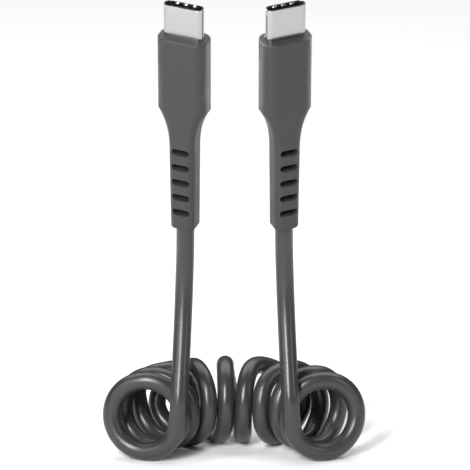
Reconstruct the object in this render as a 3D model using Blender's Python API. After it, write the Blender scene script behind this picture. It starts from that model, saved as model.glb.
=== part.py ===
"""Coiled USB-C cable: two plugs on straight leads, which rise from one coiled cord bent into an arch.

The coil stands on the floor with its arch bulging away from the viewer, who looks along +Y.
The plugs stand above the coil's two ends, turned outwards and leaning a little towards the viewer.
"""

import math

import bmesh
import bpy
from mathutils import Matrix, Vector

MM = 0.001

# Clearance between two solids that touch in the real thing
TOUCH_GAP = 0.3 * MM

# Cord and coil
CORD_D = 3.6 * MM
COIL_D = 17.8 * MM
COIL_BORE_D = COIL_D - 2 * CORD_D
ARCH_RADIUS = 18.55 * MM
ARCH_Y = -7.5 * MM
ARCH_HALF_ANGLE = math.radians(79)

# Metal shell of the plug, a flat tube with full round ends
SHELL_WIDTH = 8.25 * MM
SHELL_THICK = 2.40 * MM
SHELL_WALL = 0.20 * MM
SHELL_LENGTH = 6.5 * MM
BUMP_PITCH = 1.8 * MM
BUMP_SIZE = (0.46 * MM, 0.22 * MM, 0.38 * MM)
BUMP_FROM_RIM = 0.60 * MM

# Black contact carrier inside the shell
CARRIER_RECESS = 1.4 * MM
CARRIER_WALL = 0.30 * MM
CARRIER_FLOOR = 1.0 * MM

# Overmould: grip, hollowed neck and slotted strain relief, measured up from its cord end
MOULD_LENGTH = 42.8 * MM
SHOULDER_AT = 27.0 * MM
RELIEF_LENGTH = 17.2 * MM
GRIP_SECTION = (10.3 * MM, 5.8 * MM, 2.3 * MM)
RELIEF_TOP_SECTION = (5.4 * MM, 5.15 * MM, 1.5 * MM)
RELIEF_END_SECTION = (5.1 * MM, 4.85 * MM, 1.5 * MM)
GRIP_EDGE = 0.8 * MM
RELIEF_EDGE = 0.45 * MM
NECK_POWER = 2.6
SECTION_CORNER_STEPS = 6

# Slots in the strain relief, five in the front face and five in the back face
SLOT_COUNT = 5
SLOT_FIRST = 3.95 * MM
SLOT_PITCH = 3.46 * MM
SLOT_WIDTH = 3.6 * MM
SLOT_HEIGHT = 1.4 * MM
SLOT_DEPTH = 0.85 * MM

# Where each plug's moulding ends on the cord, how far it turns outwards, and how far it leans
PLUG_BASE = Vector((9.80, -1.55, 48.2)) * MM
PLUG_YAW = math.radians(22)
PLUG_LEAN = math.radians(19)

# The right lead from the plug down to the coil, in millimetres. The left lead mirrors it.
LEAD_ROUTE = [
    (9.87, 0.40, 42.2),
    (10.05, 1.05, 36.2),
    (10.30, 0.15, 29.5),
    (10.60, -2.10, 22.8),
    (10.90, -4.15, 17.0),
    (11.18, -5.40, 12.5),
    (11.38, -5.90, 8.8),
]
LEAD_POINTS_PER_SPAN = 2


def clear_scene():
    for obj in list(bpy.data.objects):
        bpy.data.objects.remove(obj, do_unlink=True)


def new_collection(name, hidden=False):
    collection = bpy.data.collections.new(name)
    bpy.context.scene.collection.children.link(collection)
    collection.hide_render = hidden
    return collection


def material(name, color, roughness, metallic=0.0):
    made = bpy.data.materials.new(name)
    made.use_nodes = True
    shader = made.node_tree.nodes["Principled BSDF"]
    shader.inputs["Base Color"].default_value = (*color, 1.0)
    shader.inputs["Roughness"].default_value = roughness
    shader.inputs["Metallic"].default_value = metallic
    return made


def mesh_object(name, mesh, collection, mat=None):
    obj = bpy.data.objects.new(name, mesh)
    collection.objects.link(obj)
    if mat:
        mesh.materials.append(mat)
    if hasattr(mesh, "shade_smooth"):
        mesh.shade_smooth()
        mesh.set_sharp_from_angle(angle=math.radians(35))
    return obj


def hide_cutter(obj):
    obj.hide_render = True
    obj.display_type = "WIRE"


def boolean(obj, other, operation):
    modifier = obj.modifiers.new(operation.title(), "BOOLEAN")
    modifier.operation = operation
    modifier.object = other


def tube_mesh(name, points, diameter, resolution):
    """A solid round bar along the points, from a curve with a bevel depth and filled caps."""
    curve = bpy.data.curves.new(name, "CURVE")
    curve.dimensions = "3D"
    curve.bevel_depth = diameter / 2
    curve.bevel_resolution = resolution
    curve.use_fill_caps = True
    spline = curve.splines.new("POLY")
    spline.points.add(len(points) - 1)
    for point, place in zip(spline.points, points):
        point.co = (*place, 1.0)
    guide = bpy.data.objects.new(name + "_curve", curve)
    bpy.context.scene.collection.objects.link(guide)
    graph = bpy.context.evaluated_depsgraph_get()
    mesh = bpy.data.meshes.new_from_object(guide.evaluated_get(graph))
    mesh.name = name
    bpy.data.objects.remove(guide, do_unlink=True)
    bm = bmesh.new()
    bm.from_mesh(mesh)
    bmesh.ops.remove_doubles(bm, verts=bm.verts, dist=0.01 * MM)
    bmesh.ops.recalc_face_normals(bm, faces=bm.faces)
    bm.to_mesh(mesh)
    bm.free()
    return mesh


def rounded_section(width, thick, radius):
    """Points round a rectangle with rounded corners, the same number whatever its size."""
    points = []
    for corner, (sx, sy) in enumerate(((1, 1), (-1, 1), (-1, -1), (1, -1))):
        cx = sx * (width / 2 - radius)
        cy = sy * (thick / 2 - radius)
        for step in range(SECTION_CORNER_STEPS + 1):
            turn = math.radians(90) * (corner + step / SECTION_CORNER_STEPS)
            points.append((cx + radius * math.cos(turn), cy + radius * math.sin(turn)))
    return points


def loft(name, sections):
    """A closed solid through sections of (height, width, thickness, corner radius)."""
    bm = bmesh.new()
    rings = []
    for height, width, thick, radius in sections:
        outline = rounded_section(width, thick, radius)
        rings.append([bm.verts.new((x, y, height)) for x, y in outline])
    for lower, upper in zip(rings, rings[1:]):
        count = len(lower)
        for i in range(count):
            j = (i + 1) % count
            bm.faces.new((lower[i], lower[j], upper[j], upper[i]))
    bm.faces.new(list(reversed(rings[0])))
    bm.faces.new(rings[-1])
    bmesh.ops.recalc_face_normals(bm, faces=bm.faces)
    mesh = bpy.data.meshes.new(name)
    bm.to_mesh(mesh)
    bm.free()
    return mesh


def mix(a, b, share):
    return tuple(p + (q - p) * share for p, q in zip(a, b))


def edge_round(height, section, edge, direction):
    """Sections that round off an end: the outline shrinks as it runs the last bit to height."""
    width, thick, radius = section
    found = []
    for step in (1.0, 0.66, 0.33, 0.0):
        turn = math.radians(90) * step
        inset = edge * (1 - math.cos(turn))
        back = edge * (1 - math.sin(turn))
        shape = (width - 2 * inset, thick - 2 * inset, radius - inset)
        found.append((height - direction * back, *shape))
    return found


def overmould_sections():
    sections = edge_round(0.0, RELIEF_END_SECTION, RELIEF_EDGE, -1)
    sections.append((RELIEF_LENGTH, *RELIEF_TOP_SECTION))
    neck = SHOULDER_AT - RELIEF_LENGTH
    for step in range(1, 9):
        share = (step / 8) ** NECK_POWER
        shape = mix(RELIEF_TOP_SECTION, GRIP_SECTION, share)
        sections.append((RELIEF_LENGTH + neck * step / 8, *shape))
    top = edge_round(MOULD_LENGTH, GRIP_SECTION, GRIP_EDGE, 1)
    sections.extend(reversed(top))
    return sections


def slot_cutter(name):
    """Ten short bars with round ends, lying across the strain relief's two broad faces."""
    bm = bmesh.new()
    for side in (-1, 1):
        face = side * RELIEF_END_SECTION[1] / 2
        for index in range(SLOT_COUNT):
            height = SLOT_FIRST + index * SLOT_PITCH
            outline = rounded_section(SLOT_WIDTH, SLOT_HEIGHT, SLOT_HEIGHT / 2 - 0.02 * MM)
            near = face + side * 1.0 * MM
            far = face - side * SLOT_DEPTH
            loops = []
            for depth in (near, far):
                loops.append([bm.verts.new((x, depth, height + z)) for x, z in outline])
            count = len(outline)
            for i in range(count):
                j = (i + 1) % count
                bm.faces.new((loops[0][i], loops[0][j], loops[1][j], loops[1][i]))
            bm.faces.new(loops[0])
            bm.faces.new(loops[1])
    bmesh.ops.recalc_face_normals(bm, faces=bm.faces)
    mesh = bpy.data.meshes.new(name)
    bm.to_mesh(mesh)
    bm.free()
    return mesh


def stadium(name, width, thick, low, high):
    """A bar with full round ends, standing from low to high."""
    radius = thick / 2 - 0.01 * MM
    return loft(name, [(low, width, thick, radius), (high, width, thick, radius)])


def bump_mesh(name):
    """Six shallow swellings on the shell's inner walls, three a side, just inside the mouth."""
    bm = bmesh.new()
    height = MOULD_LENGTH + TOUCH_GAP + SHELL_LENGTH - BUMP_FROM_RIM
    wall = SHELL_THICK / 2 - SHELL_WALL
    for side in (-1, 1):
        for index in (-1, 0, 1):
            place = Matrix.Translation((index * BUMP_PITCH, side * (wall - 0.05 * MM), height))
            size = Matrix.Diagonal((*BUMP_SIZE, 1.0))
            bmesh.ops.create_uvsphere(
                bm, u_segments=12, v_segments=8, radius=1.0, matrix=place @ size
            )
    mesh = bpy.data.meshes.new(name)
    bm.to_mesh(mesh)
    bm.free()
    return mesh


def plug_placement(side):
    """The plug's own frame has +Z from the cord to the mouth and +X along its broad side."""
    base = Vector((side * PLUG_BASE.x, PLUG_BASE.y, PLUG_BASE.z))
    turn = Matrix.Rotation(side * PLUG_YAW, 4, "Z")
    lean = Matrix.Rotation(PLUG_LEAN, 4, "X")
    return Matrix.Translation(base) @ lean @ turn


def make_plug(side, label, model, cutters, mats):
    place = plug_placement(side)
    root = MOULD_LENGTH + TOUCH_GAP
    rim = root + SHELL_LENGTH

    mould = mesh_object(
        "overmould_" + label, loft("overmould", overmould_sections()), model, mats["mould"]
    )
    slots = mesh_object("slots_" + label, slot_cutter("slots"), cutters)
    boolean(mould, slots, "DIFFERENCE")

    outer = stadium("plug_shell", SHELL_WIDTH, SHELL_THICK, root, rim)
    shell = mesh_object("plug_shell_" + label, outer, model, mats["steel"])
    inside_w = SHELL_WIDTH - 2 * SHELL_WALL
    inside_t = SHELL_THICK - 2 * SHELL_WALL
    bore = stadium("shell_bore", inside_w, inside_t, root - MM, rim + MM)
    hollow = mesh_object("shell_bore_" + label, bore, cutters)
    bumps = mesh_object("shell_bumps_" + label, bump_mesh("shell_bumps"), cutters)
    boolean(shell, hollow, "DIFFERENCE")
    boolean(shell, bumps, "UNION")

    body_w = inside_w - 2 * TOUCH_GAP
    body_t = inside_t - 2 * TOUCH_GAP
    body = stadium("contact_carrier", body_w, body_t, root, rim - CARRIER_RECESS)
    carrier = mesh_object("contact_carrier_" + label, body, model, mats["carrier"])
    mouth = stadium(
        "carrier_mouth",
        body_w - 2 * CARRIER_WALL,
        body_t - 2 * CARRIER_WALL,
        root + CARRIER_FLOOR,
        rim + MM,
    )
    cavity = mesh_object("carrier_mouth_" + label, mouth, cutters)
    boolean(carrier, cavity, "DIFFERENCE")

    for cutter in (slots, hollow, bumps, cavity):
        hide_cutter(cutter)
    for obj in (mould, slots, shell, hollow, bumps, carrier, cavity):
        obj.matrix_world = place


def arch_points(half_angle, count):
    """Points along the coil's own axis, a level arch about the point (0, ARCH_Y)."""
    points = []
    for i in range(count):
        turn = half_angle * (2 * i / (count - 1) - 1)
        x = ARCH_RADIUS * math.sin(turn)
        y = ARCH_Y + ARCH_RADIUS * math.cos(turn)
        points.append((x, y, COIL_D / 2))
    return points


def smooth_route(points, per_span):
    """A smooth curve through the points, with per_span steps from each point to the next."""
    first = points[0] * 2 - points[1]
    last = points[-1] * 2 - points[-2]
    line = [first, *points, last]
    found = []
    for a, b, c, d in zip(line, line[1:], line[2:], line[3:]):
        for step in range(per_span):
            t = step / per_span
            bend = (a * 2 - b * 5 + c * 4 - d) * t * t
            sway = (b * 3 - a - c * 3 + d) * t * t * t
            found.append((b * 2 + (c - a) * t + bend + sway) / 2)
    found.append(points[-1])
    return found


def lead_points(side):
    axis = Vector((0.0, -math.sin(PLUG_LEAN), math.cos(PLUG_LEAN)))
    route = [PLUG_BASE - axis * TOUCH_GAP]
    route.extend(Vector(place) * MM for place in LEAD_ROUTE)
    curve = smooth_route(route, LEAD_POINTS_PER_SPAN)
    return [(side * p.x, p.y, p.z) for p in curve]


def make_cord(model, cutters, mat):
    count = 41
    coil = mesh_object(
        "coil",
        tube_mesh("coil", arch_points(ARCH_HALF_ANGLE, count), COIL_D, 10),
        model,
        mat,
    )
    past = ARCH_HALF_ANGLE + math.radians(18)
    bore = mesh_object(
        "coil_bore", tube_mesh("coil_bore", arch_points(past, count), COIL_BORE_D, 8), cutters
    )
    boolean(coil, bore, "DIFFERENCE")

    room = mesh_object(
        "coil_room",
        tube_mesh("coil_room", arch_points(past, count), COIL_D + 2 * TOUCH_GAP, 10),
        cutters,
    )
    for side, label in ((-1, "left"), (1, "right")):
        tube = tube_mesh("lead_" + label, lead_points(side), CORD_D, 2)
        lead = mesh_object("lead_" + label, tube, model, mat)
        boolean(lead, room, "DIFFERENCE")
    hide_cutter(bore)
    hide_cutter(room)


def main():
    clear_scene()
    model = new_collection("coiled_usb_c_cable")
    cutters = new_collection("cutters", hidden=True)
    mats = {
        "steel": material("bright steel", (0.72, 0.72, 0.71), 0.25, 1.0),
        "carrier": material("black insulator", (0.012, 0.012, 0.012), 0.5),
        "mould": material("matte grey moulding", (0.12, 0.12, 0.12), 0.6),
        "cord": material("glossy dark grey jacket", (0.05, 0.05, 0.05), 0.3),
    }
    make_plug(-1, "left", model, cutters, mats)
    make_plug(1, "right", model, cutters, mats)
    make_cord(model, cutters, mats["cord"])


main()
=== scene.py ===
"""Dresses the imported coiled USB-C cable: jacketed cord, soft mouldings, steel shells and studio.

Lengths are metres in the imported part's own frame: +Z is up and the viewer looks along +Y.
"""

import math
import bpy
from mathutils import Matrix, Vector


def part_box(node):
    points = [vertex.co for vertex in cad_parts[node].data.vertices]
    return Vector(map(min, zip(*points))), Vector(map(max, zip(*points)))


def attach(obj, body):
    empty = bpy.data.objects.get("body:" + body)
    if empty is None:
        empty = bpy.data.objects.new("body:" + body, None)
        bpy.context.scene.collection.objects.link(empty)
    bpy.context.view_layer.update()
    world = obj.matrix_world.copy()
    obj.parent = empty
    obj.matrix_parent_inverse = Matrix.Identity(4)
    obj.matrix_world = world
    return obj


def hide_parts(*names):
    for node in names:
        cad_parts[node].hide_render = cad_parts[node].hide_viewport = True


bl_info = {
    "name": "Coiled USB-C cable",
    "version": (1, 0, 0),
    "blender": (4, 5, 0),
    "location": "View3D > Sidebar > Cable",
    "description": "Builds the cord, plugs, finishes and studio of a coiled USB-C cable",
    "category": "Object",
}

import bpy
import numpy as np
from bpy.props import FloatProperty, FloatVectorProperty, IntProperty, PointerProperty
from mathutils import Matrix, Vector

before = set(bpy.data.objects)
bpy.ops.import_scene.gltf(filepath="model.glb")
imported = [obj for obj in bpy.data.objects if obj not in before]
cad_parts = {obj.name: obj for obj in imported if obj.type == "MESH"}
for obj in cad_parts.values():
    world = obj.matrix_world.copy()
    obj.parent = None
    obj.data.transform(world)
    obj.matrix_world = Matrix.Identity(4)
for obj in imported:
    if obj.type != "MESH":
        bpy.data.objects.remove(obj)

MM = 0.001
SIDES = ((-1, "left"), (1, "right"))

# The part's own numbers in millimetres: where a plug's moulding ends on the cord, the route of the
# right lead, and the furthest back that the coil reaches. The route's last two points stand up to
# 0.7 mm further forward than the part's, where the cord would run into its own second turn.
PLUG_BASE = (9.80, -1.55, 48.2)
LEAD_ROUTE = (
    (9.87, 0.40, 42.2),
    (10.05, 1.05, 36.2),
    (10.30, 0.15, 29.5),
    (10.60, -2.10, 22.8),
    (10.90, -4.80, 17.0),
    (11.15, -6.12, 12.5),
)
COIL_BACK = 19.95

# The coil's inner front line, in turns from the middle: its place in millimetres, and the way it
# faces in degrees
TURN = (0.0, 0.5, 1.5, 2.5, 3.5, 4.5)
INNER_X = (0.0, 1.78, 5.28, 8.65, 10.45, 11.4)
INNER_Y = (3.5, 3.4, 2.4, 0.6, -2.5, -5.9)
FACING = (0.0, 11.5, 34.0, 56.0, 70.0, 78.0)

# The strand as (turn, degrees round the coil), where 0 is the coil's outer side and 90 its top. It
# winds one way from the left lead, turns back at the rear, and winds the other way from there.
STRAND = (
    (-4.5, 180), (-4.28, 270), (-4.05, 360), (-3.85, 450), (-3.5, 540), (-3.27, 630),
    (-3.01, 700), (-3.0, 760), (-2.95, 810), (-2.5, 900), (-2.38, 990), (-2.31, 1068),
    (-2.45, 1106), (-2.47, 1131), (-2.33, 1149), (-2.06, 1156), (-1.79, 1149), (-1.65, 1131),
    (-1.67, 1106), (-1.83, 1068), (-1.64, 990), (-1.5, 900), (-1.25, 810), (-1.0, 720),
    (-0.6, 630), (-0.5, 540), (-0.3, 450), (-0.12, 360), (0.23, 270), (0.5, 180), (0.64, 90),
    (1.58, 0), (1.54, -45), (1.4, -90), (1.5, -180), (1.47, -225), (1.72, -270), (2.02, -360),
    (2.1, -405), (2.33, -450), (2.5, -540), (2.48, -585), (2.74, -630), (2.64, -720),
    (2.74, -765), (3.2, -810), (3.5, -900), (3.78, -990), (3.88, -1080), (4.28, -1170),
    (4.5, -1260),
)
# A rough distance between turns in millimetres, which only spaces the strand's entries, and the
# steps between one entry and the next
TURN_SPACING = 8.0
STRAND_STEPS = 24

# How many millimetres the cord runs up inside a moulding, and the steps between points of a lead
CORD_INSIDE = 1.2
LEAD_STEPS = 12

# Moulding sections in millimetres: width, thickness and corner radius. The edge radii round off the
# two ends, and the power sets how late the neck widens into the grip.
GRIP = np.array((10.3, 5.8, 2.3))
RELIEF_TOP = np.array((5.4, 5.15, 1.5))
RELIEF_END = np.array((5.1, 4.85, 1.5))
GRIP_EDGE = 0.35
RELIEF_EDGE = 0.25
NECK_POWER = 2.6

# Slots of the strain relief in millimetres: their heights, their width and height, where a wall
# starts outside the outline and how wide its slope is, and the least half thickness of the floor
SLOT_CENTRES = [3.95 + 3.46 * i for i in range(5)]
SLOT_SIZE = (3.5, 1.3)
SLOT_LIP = 0.05
SLOT_WALL = 0.14
SLOT_LEAST_FLOOR = 0.14
# Rings beside a slot's edge, close together where its wall is steep
SLOT_RINGS = (0.4, 0.2, 0.12, 0.07, 0.03, -0.01, -0.05, -0.09, -0.13, -0.18, -0.28)
# Points nearer than this to the moulding's middle plane are on its narrow sides
SIDE_REACH = 0.9

# Steps along a section's broad sides, its narrow sides and its corners
MOULD_STEPS = (24, 8, 16)
SHELL_STEPS = (72, 2, 16)

# The steel shell in millimetres: how far above the moulding its heights start, its root, and its
# spring bumps: their places across, depth below the rim, half width and half height, and rise
SHELL_START = 0.3
SHELL_ROOT = -0.5
BUMP_PLACES = (-1.8, 0.0, 1.8)
BUMP_BELOW_RIM = 0.55
BUMP_REACH = (0.5, 0.34)
BUMP_RISE = 0.26
# The inner rings lie close across the bumps: the first and last below the rim, and their spacing
BUMP_RINGS = (0.16, 1.2, 0.06)
# The tube's ends are this much short of half circles, so that no two points of a ring meet
END_FLAT = 0.005

# Edges that turn more than this stay sharp
SHARP_EDGE = math.radians(50)

# Studio lights: name, place and target in metres, width and height, and watts
MIDDLE = (0.0, 0.0, 0.03)
BOXES = (
    ("key_box", (-0.27, -0.68, 0.42), MIDDLE, (0.12, 0.48), 9.0),
    ("left_box", (-0.62, -0.36, 0.34), MIDDLE, (0.16, 0.46), 1.3),
    ("right_box", (0.62, -0.36, 0.34), MIDDLE, (0.16, 0.46), 0.9),
    ("top_box", (0.0, 0.36, 0.80), (0.0, 0.15, 0.0), (1.4, 0.7), 8.5),
)
# A small light behind each side brightens the inner side of the plug across from it
RIM_PLACE = (0.47, 0.25, 0.15)
RIM_TARGET = (0.0, -0.01, 0.084)
RIM_SIZE = (0.08, 0.05)
RIM_WATTS = 0.022
RIM_SPREAD = math.radians(8)
SKY_STRENGTH = 0.08
FLOOR_REACH = 3.0
FLOOR_CORNERS = ((-1, -1), (1, -1), (1, 1), (-1, 1))

# The point in millimetres that the camera looks at
CAMERA_AIM = (0.06, 3.40, 44.8)


def srgb(code):
    """Linear red, green and blue of a colour written as sRGB hex."""
    found = []
    for at in (1, 3, 5):
        part = int(code[at : at + 2], 16) / 255
        found.append(part / 12.92 if part <= 0.04045 else ((part + 0.055) / 1.055) ** 2.4)
    return tuple(found)


def length(name, description, millimetres):
    return FloatProperty(
        name=name, description=description, default=millimetres * MM, min=0.0, unit="LENGTH"
    )


def angle(name, description, degrees):
    return FloatProperty(
        name=name, description=description, default=math.radians(degrees), subtype="ANGLE"
    )


def colour(name, description, code):
    return FloatVectorProperty(
        name=name, description=description, default=srgb(code), min=0, max=1, subtype="COLOR"
    )


class CordSettings(bpy.types.PropertyGroup):
    jacket_diameter: length("Jacket diameter", "Outside of the jacketed cord", 3.6)
    cord_length: length("Cord length", "Both leads and the coil, pulled straight", 515.5)
    turn_radius: length("Turn radius", "From the coil's axis to the cord's middle", 7.1)
    ring_spacing: length("Ring spacing", "Cord from one mesh ring to the next", 0.5)
    ring_sides: IntProperty(
        name="Ring sides", description="Faces round the jacket", default=24, min=8, max=64
    )
    jacket: colour("Jacket", "Glossy thermoplastic elastomer", "#2F2F2F")


class PlugSettings(bpy.types.PropertyGroup):
    yaw: angle("Turn", "How far each plug faces outwards", 22)
    lean: angle("Lean", "How far each plug leans to the viewer", 19)
    mould_length: length("Moulding length", "From the cord end to the steel shell", 42.8)
    shoulder: length("Shoulder", "Height of the grip's lower edge", 27.0)
    relief_length: length("Strain relief", "Length of the slotted part", 17.2)
    slot_floor: length("Slot floor", "From the moulding's middle to a slot's floor", 0.3)
    shell_width: length("Shell width", "Across the steel tube", 8.25)
    shell_thickness: length("Shell thickness", "Through the steel tube", 2.4)
    shell_length: length("Shell length", "From just above the moulding to the mouth", 6.5)
    shell_wall: length("Shell wall", "Thickness of the drawn steel", 0.15)
    mould: colour("Moulding", "Soft matte elastomer", "#2D2D2D")
    steel: colour("Steel", "Bright nickel-plated steel", "#B0B0AF")
    insulator: colour("Insulator", "Black glass-filled nylon", "#101011")


class StudioSettings(bpy.types.PropertyGroup):
    paper: colour("Paper", "Pale seamless paper under the cable", "#F4F4F4")
    camera_distance: length("Camera distance", "From the camera to the cable", 900.0)
    camera_elevation: angle("Camera elevation", "Angle above the horizon", 13.0)
    view_width: length("View width", "Width that the picture takes in", 94.0)


class CableSettings(bpy.types.PropertyGroup):
    cord: PointerProperty(type=CordSettings)
    plug: PointerProperty(type=PlugSettings)
    studio: PointerProperty(type=StudioSettings)


# Where the pack put the part: its coil's back tells how far the part moved along Y
PACK_SHIFT = Vector((0.0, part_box("coil")[1].y - COIL_BACK * MM, 0.0))


# Finishes


def add_node(tree, kind, values=None, links=None, **settings):
    """Adds one node with its settings, the values on its sockets, and links from (node, output)."""
    made = tree.nodes.new(kind)
    for name, value in settings.items():
        setattr(made, name, value)
    for socket, value in (values or {}).items():
        made.inputs[socket].default_value = value
    for socket, (source, output) in (links or {}).items():
        tree.links.new(source.outputs[output], made.inputs[socket])
    return made


def new_finish(name, base, roughness, metallic=0.0):
    """A new finish with its shader, and the object coordinates that its patterns are drawn in."""
    made = bpy.data.materials.new(name)
    made.use_nodes = True
    tree = made.node_tree
    shader = tree.nodes["Principled BSDF"]
    shader.inputs["Base Color"].default_value = (*base, 1.0)
    shader.inputs["Roughness"].default_value = roughness
    shader.inputs["Metallic"].default_value = metallic
    return made, tree, shader, add_node(tree, "ShaderNodeTexCoord")


def per_mm(size):
    """Noise scale of a pattern whose features are this many millimetres across."""
    return 1.0 / (size * MM)


def noise(tree, place, size, detail, **more):
    """Noise in the object's own coordinates, with features this many millimetres across."""
    values = {"Scale": per_mm(size), "Detail": detail, **more}
    return add_node(tree, "ShaderNodeTexNoise", values, {"Vector": (place, "Object")})


def shade(base, share):
    """The colour made lighter or darker by a share, fully opaque."""
    return (*[min(1.0, c * share) for c in base], 1.0)


def vary(tree, shader, pattern, base, spread, smooth, rough):
    """Lets a pattern drift the colour by a share either way, and the roughness over a range."""
    tint = add_node(
        tree, "ShaderNodeMix", {6: shade(base, 1 - spread), 7: shade(base, 1 + spread)},
        {0: (pattern, "Fac")}, data_type="RGBA",
    )
    sheen = add_node(
        tree, "ShaderNodeMapRange",
        {"From Min": 0.3, "From Max": 0.7, "To Min": smooth, "To Max": rough},
        {"Value": (pattern, "Fac")},
    )
    tree.links.new(tint.outputs[2], shader.inputs["Base Color"])
    tree.links.new(sheen.outputs["Result"], shader.inputs["Roughness"])


def raise_grain(tree, shader, pattern, height):
    """Makes a pattern stand out of the surface by this many millimetres."""
    bump = add_node(
        tree, "ShaderNodeBump", {"Strength": 1.0, "Distance": height * MM},
        {"Height": (pattern, "Fac")},
    )
    tree.links.new(bump.outputs["Normal"], shader.inputs["Normal"])


def extruded_elastomer(base):
    # Extruded elastomer jacket: a wet-looking gloss with a faint orange peel, a little duller in
    # patches where fingers have touched it
    made, tree, shader, place = new_finish("extruded elastomer jacket", base, 0.31)
    touch = noise(tree, place, 8.0, 2.0)
    peel = noise(tree, place, 0.7, 2.0)
    vary(tree, shader, touch, base, 0.06, 0.27, 0.36)
    raise_grain(tree, shader, peel, 0.012)
    return made


def moulded_elastomer(base):
    # Injection moulded elastomer from a spark-eroded tool: a soft matte skin. The 0.08 mm grain is
    # drawn at 0.16 mm so that it shows
    made, tree, shader, place = new_finish("matte moulded elastomer", base, 0.55)
    drift = noise(tree, place, 6.0, 3.0)
    grain = noise(tree, place, 0.16, 3.0, Roughness=0.6)
    vary(tree, shader, drift, base, 0.04, 0.50, 0.60)
    raise_grain(tree, shader, grain, 0.012)
    return made


def plated_steel(base):
    # Nickel-plated drawn steel: bright, with fine draw lines along the tube, 0.05 mm apart
    made, tree, shader, place = new_finish("nickel-plated drawn steel", base, 0.2, 1.0)
    stretch = add_node(
        tree, "ShaderNodeMapping", {"Scale": (per_mm(0.05), per_mm(0.05), per_mm(4.0))},
        {"Vector": (place, "Object")},
    )
    lines = add_node(
        tree, "ShaderNodeTexNoise", {"Scale": 1.0, "Detail": 2.0}, {"Vector": (stretch, "Vector")}
    )
    vary(tree, shader, lines, base, 0.03, 0.16, 0.28)
    raise_grain(tree, shader, lines, 0.001)
    return made


def filled_nylon(base):
    # Glass-filled black nylon: satin, with a dry speckle of fibres near the skin
    made, tree, shader, place = new_finish("glass-filled nylon", base, 0.45)
    fibres = noise(tree, place, 0.1, 4.0)
    vary(tree, shader, fibres, base, 0.2, 0.38, 0.52)
    raise_grain(tree, shader, fibres, 0.006)
    return made


def seamless_paper(base):
    # Matte studio paper: no sheen, only a hint of tooth
    made, tree, shader, place = new_finish("seamless paper", base, 0.9)
    tooth = noise(tree, place, 0.6, 2.0)
    vary(tree, shader, tooth, base, 0.005, 0.85, 0.95)
    return made


# Meshes


def skin(name, rings, finish, looped=False):
    """A closed smooth skin through rings of points: capped, or with its ends joined if looped."""
    rings = np.asarray(rings, float)
    count, sides = rings.shape[:2]
    faces = []
    for i in range(count if looped else count - 1):
        for j in range(sides):
            k = (j + 1) % sides
            low, high = i * sides, (i + 1) % count * sides
            faces.append((low + j, low + k, high + k, high + j))
    if not looped:
        faces.append(tuple(reversed(range(sides))))
        faces.append(tuple(range((count - 1) * sides, count * sides)))
    mesh = bpy.data.meshes.new(name)
    mesh.from_pydata(rings.reshape(-1, 3).tolist(), [], faces)
    mesh.materials.append(finish)
    mesh.shade_smooth()
    mesh.set_sharp_from_angle(angle=SHARP_EDGE)
    obj = bpy.data.objects.new(name, mesh)
    bpy.context.scene.collection.objects.link(obj)
    return obj


def tube(name, path, diameter, sides, finish):
    """A round tube along a path, with rings that never twist against each other."""
    along = np.gradient(path, axis=0)
    along /= np.linalg.norm(along, axis=1)[:, None]
    across = np.array((1.0, 0.0, 0.0))
    rings = []
    turns = np.linspace(0, 2 * math.pi, sides, endpoint=False)[:, None]
    for point, ahead in zip(path, along):
        across = across - ahead * across.dot(ahead)
        across /= np.linalg.norm(across)
        beside = np.cross(ahead, across)
        rings.append(point + diameter / 2 * (np.cos(turns) * across + np.sin(turns) * beside))
    return skin(name, rings, finish)


def even_steps(path, step):
    """The same path with its points an even step apart."""
    run = np.concatenate([[0], np.cumsum(np.linalg.norm(np.diff(path, axis=0), axis=1))])
    at = np.linspace(0, run[-1], max(2, round(run[-1] / step)))
    return np.stack([np.interp(at, run, path[:, k]) for k in range(3)], -1)


def between(start, end, start_slope, end_slope, gap, share):
    """The smooth curve from one value to the next, at a share of the gap between them."""
    rise = share * share * (3 - 2 * share)
    early, late = share * (1 - share) ** 2, share * share * (share - 1)
    return start * (1 - rise) + end * rise + gap * (start_slope * early + end_slope * late)


def through(points, slopes, places, steps):
    """A smooth curve through points, from each one's slope and its place along the curve."""
    found = []
    for i in range(len(points) - 1):
        gap = places[i + 1] - places[i]
        for share in np.linspace(0, 1, steps, endpoint=False):
            found.append(between(points[i], points[i + 1], slopes[i], slopes[i + 1], gap, share))
    found.append(points[-1])
    return np.array(found)


def mirrored(values, odd):
    """A half table spread over both sides of the coil's middle."""
    values = np.array(values, float)
    return np.concatenate([(-values if odd else values)[:0:-1], values])


def table_at(turns, values, odd):
    """The table's value at any turn, smooth through every entry."""
    at, value = mirrored(TURN, True), mirrored(values, odd)
    slope = np.gradient(value, at)
    i = np.clip(np.searchsorted(at, turns, side="right") - 1, 0, len(at) - 2)
    gap = at[i + 1] - at[i]
    return between(value[i], value[i + 1], slope[i], slope[i + 1], gap, (turns - at[i]) / gap)


def coil_point(turns, angles, radius, diameter):
    """Places of the strand's middle at these turns and angles round the coil."""
    facing = np.radians(table_at(turns, FACING, True))
    outward = np.stack([np.sin(facing), np.cos(facing), 0 * facing], -1)
    inner = np.stack(
        [table_at(turns, INNER_X, True), table_at(turns, INNER_Y, False), 0 * turns], -1
    )
    round_it = np.radians(angles)[:, None]
    up = np.array((0.0, 0.0, 1.0))
    axis = inner * MM + radius * outward + (radius + diameter / 2) * up
    return axis + radius * (np.cos(round_it) * outward + np.sin(round_it) * up)


def coil_path(radius, diameter):
    """The strand's middle, round every turn from the left lead to the right one."""
    keys = np.array(STRAND, float)
    flat = np.stack([keys[:, 0] * TURN_SPACING * MM, np.radians(keys[:, 1]) * radius], -1)
    hop = np.linalg.norm(np.diff(flat, axis=0), axis=1) ** 0.5
    places = np.concatenate([[0], np.cumsum(hop)])
    strand = through(keys, np.gradient(keys, places, axis=0), places, STRAND_STEPS)
    return coil_point(strand[:, 0], strand[:, 1], radius, diameter)


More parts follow.
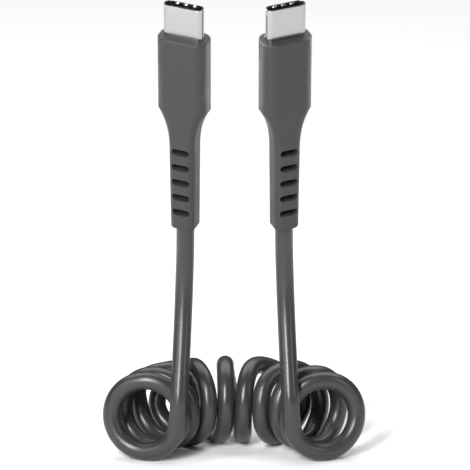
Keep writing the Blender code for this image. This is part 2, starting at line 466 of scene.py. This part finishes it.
def plug_axis(plug):
    """The way from the cord to the plug's mouth."""
    return np.array((0.0, -math.sin(plug.lean), math.cos(plug.lean)))


def lead_path(side, coil, plug):
    """From inside the plug's moulding down to the coil, whose path starts where the lead ends."""
    start = np.array(PLUG_BASE) * MM
    inside = start + plug_axis(plug) * CORD_INSIDE * MM
    points = np.array([inside, start, *[np.array(p) * MM for p in LEAD_ROUTE]])
    points[:, 0] *= side
    # One point further round the coil only sets the slope where the lead meets it
    points = np.concatenate([points, coil[[0, STRAND_STEPS // 2]]])
    hop = np.linalg.norm(np.diff(points, axis=0), axis=1)
    places = np.concatenate([[0], np.cumsum(hop)])
    slopes = np.gradient(points, places, axis=0)
    return through(points[:-1], slopes[:-1], places[:-1], LEAD_STEPS)[:-1]


def plug_place(side, plug):
    """The plug's own frame: +Z runs from the cord to the mouth and +X along the broad side."""
    base = Vector((side * PLUG_BASE[0], PLUG_BASE[1], PLUG_BASE[2])) * MM + PACK_SHIFT
    turn = Matrix.Rotation(side * plug.yaw, 4, "Z")
    return Matrix.Translation(base) @ Matrix.Rotation(plug.lean, 4, "X") @ turn


def mould_section(height, plug):
    """Width, thickness and corner radius, in millimetres, at a height above the cord end."""
    relief, shoulder = plug.relief_length / MM, plug.shoulder / MM
    top = plug.mould_length / MM
    if height < relief:
        section = RELIEF_END + (RELIEF_TOP - RELIEF_END) * height / relief
    else:
        share = min(1.0, (height - relief) / (shoulder - relief)) ** NECK_POWER
        section = RELIEF_TOP + (GRIP - RELIEF_TOP) * share
    for edge, gap in ((RELIEF_EDGE, height), (GRIP_EDGE, top - height)):
        if gap < edge:
            inset = edge - math.sqrt(max(0.0, edge * edge - (edge - gap) ** 2))
            section = section - np.array((2 * inset, 2 * inset, inset))
    return section


def section_outline(width, thick, radius, flat_steps, side_steps, corner_steps):
    """Points round a rectangle with rounded corners, starting on its right side."""
    points = []
    for corner, (sx, sy) in enumerate(((1, 1), (-1, 1), (-1, -1), (1, -1))):
        cx, cy = sx * (width / 2 - radius), sy * (thick / 2 - radius)
        for step in range(corner_steps + 1):
            turn = math.radians(90) * (corner + step / corner_steps)
            points.append((cx + radius * math.cos(turn), cy + radius * math.sin(turn)))
        x, y = points[-1]
        if corner % 2:
            steps, run = side_steps, (0, -2 * cy)
        else:
            steps, run = flat_steps, (-2 * cx, 0)
        for step in range(1, steps):
            points.append((x + run[0] * step / steps, y + run[1] * step / steps))
    return np.array(points)


def cut_slots(outline, height, floor):
    """Sinks the part of a section that lies in a slot, front and back, down to a round floor."""
    nearest = min(SLOT_CENTRES, key=lambda c: abs(c - height))
    half_width, half_height = SLOT_SIZE[0] / 2, SLOT_SIZE[1] / 2
    run = np.maximum(np.abs(outline[:, 0]) - (half_width - half_height), 0)
    outside = np.hypot(run, height - nearest) - half_height
    share = np.clip((SLOT_LIP - outside) / SLOT_WALL, 0, 1)
    share = share * share * (3 - 2 * share)
    deep = np.sqrt(np.maximum(floor**2 - outline[:, 0] ** 2, SLOT_LEAST_FLOOR**2))
    y = outline[:, 1]
    sunk = np.sign(y) * np.minimum(np.abs(y), deep)
    outline[:, 1] = np.where(np.abs(y) > SIDE_REACH, y + (sunk - y) * share, y)
    return outline


def mould_rings(plug):
    """The moulding's sections from the cord end to the steel, close together at slots and edges."""
    top, shoulder = plug.mould_length / MM, plug.shoulder / MM
    round_steps = np.radians(np.linspace(0, 90, 9))
    heights = list(RELIEF_EDGE * (1 - np.cos(round_steps)))
    for centre in SLOT_CENTRES:
        offsets = SLOT_SIZE[1] / 2 + np.array(SLOT_RINGS)
        heights += [centre + o for o in offsets] + [centre - o for o in offsets]
        heights += [centre, centre + 0.2, centre - 0.2]
    for before, after in zip(SLOT_CENTRES, SLOT_CENTRES[1:]):
        heights.append((before + after) / 2)
    past_slots = SLOT_CENTRES[-1] + SLOT_SIZE[1]
    heights += list(np.linspace(past_slots, shoulder, 34))
    heights += list(np.linspace(shoulder + 0.3, top - GRIP_EDGE - 0.3, 18))
    heights += list(top - GRIP_EDGE * (1 - np.sin(round_steps)))
    rings = []
    for height in sorted(set(round(h, 4) for h in heights)):
        outline = section_outline(*mould_section(height, plug), *MOULD_STEPS)
        if height < past_slots:
            outline = cut_slots(outline, height, plug.slot_floor / MM)
        rings.append(np.column_stack([outline, np.full(len(outline), height)]) * MM)
    return rings


def shell_rings(plug):
    """Up the outside of the steel tube, over its rolled rim, and down the inside past the bumps."""
    rim = plug.shell_length / MM
    wall = plug.shell_wall / MM
    radius = plug.shell_thickness / MM / 2
    straight = plug.shell_width / MM / 2 - radius
    profile = [(0.0, SHELL_ROOT), (0.0, 0.02), (0.0, rim / 2), (0.0, rim - wall / 2)]
    for step in range(1, 9):
        turn = math.pi * step / 8
        roll = wall / 2 * (1 - math.cos(turn)), rim - wall / 2 + wall / 2 * math.sin(turn)
        profile.append(roll)
    first, last, spacing = BUMP_RINGS
    profile += [(wall, z) for z in np.arange(rim - first, rim - last, -spacing)]
    profile += [(wall, rim - 1.6), (wall, rim / 2), (wall, SHELL_ROOT)]
    rings = []
    for inset, z in profile:
        end = radius - inset
        outline = section_outline(2 * (straight + end), 2 * end, end - END_FLAT, *SHELL_STEPS)
        if inset == wall:
            height = (z - rim + BUMP_BELOW_RIM) / BUMP_REACH[1]
            for place in BUMP_PLACES:
                away = ((outline[:, 0] - place) / BUMP_REACH[0]) ** 2 + height**2
                rise = BUMP_RISE * np.sqrt(np.maximum(1 - away, 0))
                outline[:, 1] -= np.sign(outline[:, 1]) * rise
        rings.append(np.column_stack([outline, np.full(len(outline), z)]) * MM)
    return rings


# Operators


class CABLE_OT_cord(bpy.types.Operator):
    """Makes the one cord: the left lead, the coil with its reversal, and the right lead"""

    bl_idname = "cable.cord"
    bl_label = "Build cord"

    def execute(self, context):
        cord, plug = context.scene.cable.cord, context.scene.cable.plug
        coil = coil_path(cord.turn_radius, cord.jacket_diameter)
        left = lead_path(-1, coil, plug)
        right = lead_path(1, coil[::-1], plug)
        path = np.concatenate([left, coil, right[::-1]]) + np.array(PACK_SHIFT)
        path = even_steps(path, cord.ring_spacing)
        made = tube(
            "cord", path, cord.jacket_diameter, cord.ring_sides, extruded_elastomer(cord.jacket)
        )
        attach(made, "root")
        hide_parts("lead_left", "coil", "lead_right")
        return {"FINISHED"}


class CABLE_OT_mouldings(bpy.types.Operator):
    """Makes the two soft mouldings: grip, hollowed neck and slotted strain relief"""

    bl_idname = "cable.mouldings"
    bl_label = "Build mouldings"

    def execute(self, context):
        plug = context.scene.cable.plug
        finish = moulded_elastomer(plug.mould)
        for side, label in SIDES:
            made = skin("moulding_" + label, mould_rings(plug), finish)
            made.matrix_world = plug_place(side, plug)
            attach(made, "root")
            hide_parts("overmould_" + label)
        return {"FINISHED"}


class CABLE_OT_shells(bpy.types.Operator):
    """Makes the two steel shells, with rolled rims and spring bumps inside the mouths"""

    bl_idname = "cable.shells"
    bl_label = "Build shells"

    def execute(self, context):
        plug = context.scene.cable.plug
        finish = plated_steel(plug.steel)
        for side, label in SIDES:
            made = skin("steel_shell_" + label, shell_rings(plug), finish, looped=True)
            root = Matrix.Translation((0, 0, plug.mould_length + SHELL_START * MM))
            made.matrix_world = plug_place(side, plug) @ root
            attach(made, "root")
            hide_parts("plug_shell_" + label)
        return {"FINISHED"}


class CABLE_OT_insulators(bpy.types.Operator):
    """Gives the black contact carriers their finish"""

    bl_idname = "cable.insulators"
    bl_label = "Finish insulators"

    def execute(self, context):
        finish = filled_nylon(context.scene.cable.plug.insulator)
        for _, label in SIDES:
            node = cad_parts["contact_carrier_" + label]
            node.material_slots[0].material = finish
        return {"FINISHED"}


def area_light(name, place, target, size, watts):
    """A rectangular soft light at a place, turned to its target."""
    light = bpy.data.lights.new(name, "AREA")
    light.shape = "RECTANGLE"
    light.size, light.size_y = size
    light.energy = watts
    obj = bpy.data.objects.new(name, light)
    bpy.context.scene.collection.objects.link(obj)
    obj.location = place
    obj.rotation_euler = (Vector(target) - Vector(place)).to_track_quat("-Z", "Y").to_euler()
    return obj


class CABLE_OT_studio(bpy.types.Operator):
    """Lays the pale floor, hangs the soft lights and places the camera"""

    bl_idname = "cable.studio"
    bl_label = "Build studio"

    def execute(self, context):
        studio = context.scene.cable.studio
        mesh = bpy.data.meshes.new("floor")
        corners = [(x * FLOOR_REACH, y * FLOOR_REACH, 0) for x, y in FLOOR_CORNERS]
        mesh.from_pydata(corners, [], [(0, 1, 2, 3)])
        mesh.materials.append(seamless_paper(studio.paper))
        floor = bpy.data.objects.new("floor", mesh)
        context.scene.collection.objects.link(floor)

        world = bpy.data.worlds.new("studio")
        world.use_nodes = True
        sky = world.node_tree.nodes["Background"]
        sky.inputs["Color"].default_value = (1.0, 1.0, 1.0, 1.0)
        sky.inputs["Strength"].default_value = SKY_STRENGTH
        context.scene.world = world

        for name, place, target, size, watts in BOXES:
            area_light(name, place, target, size, watts)
        for side, label in SIDES:
            place = (side * RIM_PLACE[0], *RIM_PLACE[1:])
            rim = area_light("rim_strip_" + label, place, RIM_TARGET, RIM_SIZE, RIM_WATTS)
            rim.data.spread = RIM_SPREAD
        context.scene.view_settings.view_transform = "Standard"

        aim = Vector(CAMERA_AIM) * MM + PACK_SHIFT
        lift = studio.camera_elevation
        back = Vector((0.0, -math.cos(lift), math.sin(lift)))
        data = bpy.data.cameras.new("camera")
        data.lens = data.sensor_width * studio.camera_distance / studio.view_width
        data.clip_start, data.clip_end = 0.01, 20.0
        camera = bpy.data.objects.new("camera", data)
        context.scene.collection.objects.link(camera)
        camera.location = aim + back * studio.camera_distance
        camera.rotation_euler = (-back).to_track_quat("-Z", "Y").to_euler()
        context.scene.camera = camera
        return {"FINISHED"}


class CABLE_PT_panel(bpy.types.Panel):
    """Sizes and colours of the cable, and the steps that build it"""

    bl_idname = "CABLE_PT_panel"
    bl_label = "Coiled cable"
    bl_space_type = "VIEW_3D"
    bl_region_type = "UI"
    bl_category = "Cable"

    def draw(self, context):
        cable = context.scene.cable
        for group in (cable.cord, cable.plug, cable.studio):
            box = self.layout.box()
            for name in group.__annotations__:
                box.prop(group, name)
        for operator in OPERATORS:
            self.layout.operator(operator.bl_idname)


OPERATORS = (
    CABLE_OT_mouldings,
    CABLE_OT_shells,
    CABLE_OT_insulators,
    CABLE_OT_cord,
    CABLE_OT_studio,
)
CLASSES = (CordSettings, PlugSettings, StudioSettings, CableSettings, *OPERATORS, CABLE_PT_panel)


def register():
    for kind in CLASSES:
        bpy.utils.register_class(kind)
    bpy.types.Scene.cable = PointerProperty(type=CableSettings)


def unregister():
    del bpy.types.Scene.cable
    for kind in reversed(CLASSES):
        bpy.utils.unregister_class(kind)


def main():
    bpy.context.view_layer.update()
    register()
    bpy.ops.cable.mouldings()
    bpy.ops.cable.shells()
    bpy.ops.cable.insulators()
    bpy.ops.cable.cord()
    bpy.ops.cable.studio()


if __name__ == "__main__":
    main()
